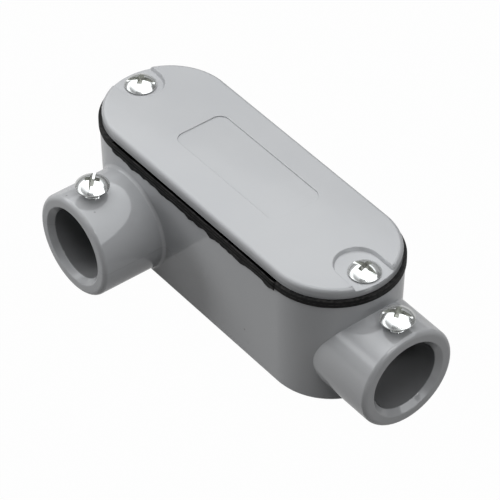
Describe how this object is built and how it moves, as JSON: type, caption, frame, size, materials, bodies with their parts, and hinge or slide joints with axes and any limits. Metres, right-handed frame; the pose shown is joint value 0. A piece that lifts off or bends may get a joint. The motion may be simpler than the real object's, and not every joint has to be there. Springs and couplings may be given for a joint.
{
  "type": "conduit body",
  "caption": "Obround die cast conduit body with an end hub and a side hub for tube, a screwed cover on a rubber gasket and set screws that clamp the tubes.",
  "frame": {"origin": "middle of the flat back, on the centre plane of the obround body and half way between its round ends", "axes": "+X out of the end hub, -Y out of the side hub, +Z from the back to the cover"},
  "size_m": [0.1092, 0.0519, 0.0374],
  "materials": {
    "casting": "semi-gloss grey paint on die cast aluminium",
    "gasket_rubber": "matt die cut rubber",
    "plated_screw": "bright zinc plating"
  },
  "bodies": {
    "fitting": {"housing": "casting", "gasket": "gasket_rubber", "cover": "casting"},
    "front_screw": {"cover_screw_front": "plated_screw"},
    "rear_screw": {"cover_screw_rear": "plated_screw"},
    "end_screw": {"set_screw_end": "plated_screw"},
    "side_screw": {"set_screw_side": "plated_screw"}
  },
  "joints": [
    {"name": "front_screw_slide", "type": "slide", "parent": "fitting", "child": "front_screw", "axis": [0, 0, 1], "range_m": [0, 0.0072]},
    {"name": "rear_screw_slide", "type": "slide", "parent": "fitting", "child": "rear_screw", "axis": [0, 0, 1], "range_m": [0, 0.0072]},
    {"name": "end_screw_slide", "type": "slide", "parent": "fitting", "child": "end_screw", "axis": [0, 0, 1], "range_m": [-0.0021, 0.0039]},
    {"name": "side_screw_slide", "type": "slide", "parent": "fitting", "child": "side_screw", "axis": [0, 0, 1], "range_m": [-0.0021, 0.0039]}
  ]
}
